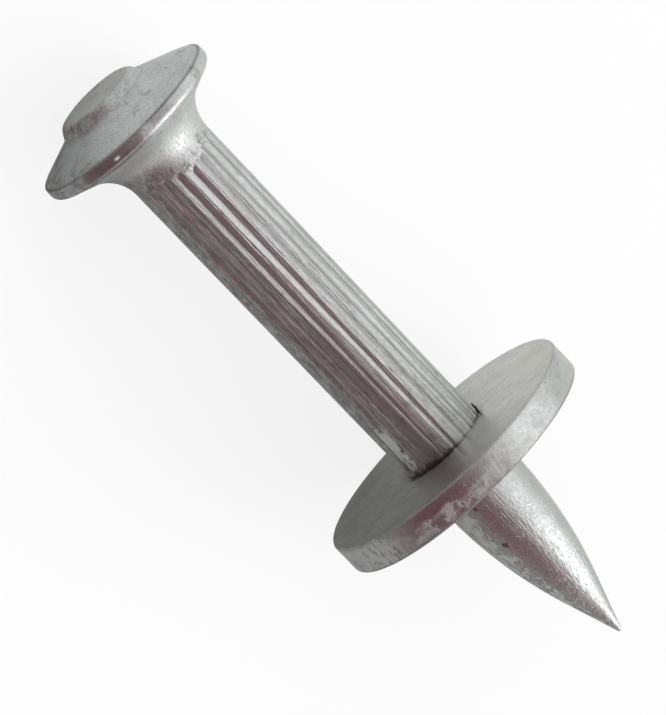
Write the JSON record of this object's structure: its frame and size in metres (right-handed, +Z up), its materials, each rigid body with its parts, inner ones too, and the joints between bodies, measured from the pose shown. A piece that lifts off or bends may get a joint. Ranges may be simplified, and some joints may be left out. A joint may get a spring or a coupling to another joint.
{
  "type": "hammer drive pin with washer",
  "caption": "Headed steel drive pin with a struck crown, straight flutes, an ogive point and a thick round washer pressed on near the point.",
  "frame": {"origin": "middle of the footprint, on the surface that the pin lies on", "axes": "+X from the head to the point along the lying pin, +Z up; the shank rises 5.49 degrees towards the point"},
  "size_m": [0.0308, 0.012, 0.0121],
  "materials": {
    "zinc_plated_pin": "bright zinc plate over hardened steel",
    "zinc_plated_washer": "zinc plate over punched mild steel"
  },
  "bodies": {
    "root": {"drive_pin": "zinc_plated_pin", "washer": "zinc_plated_washer"}
  },
  "joints": []
}
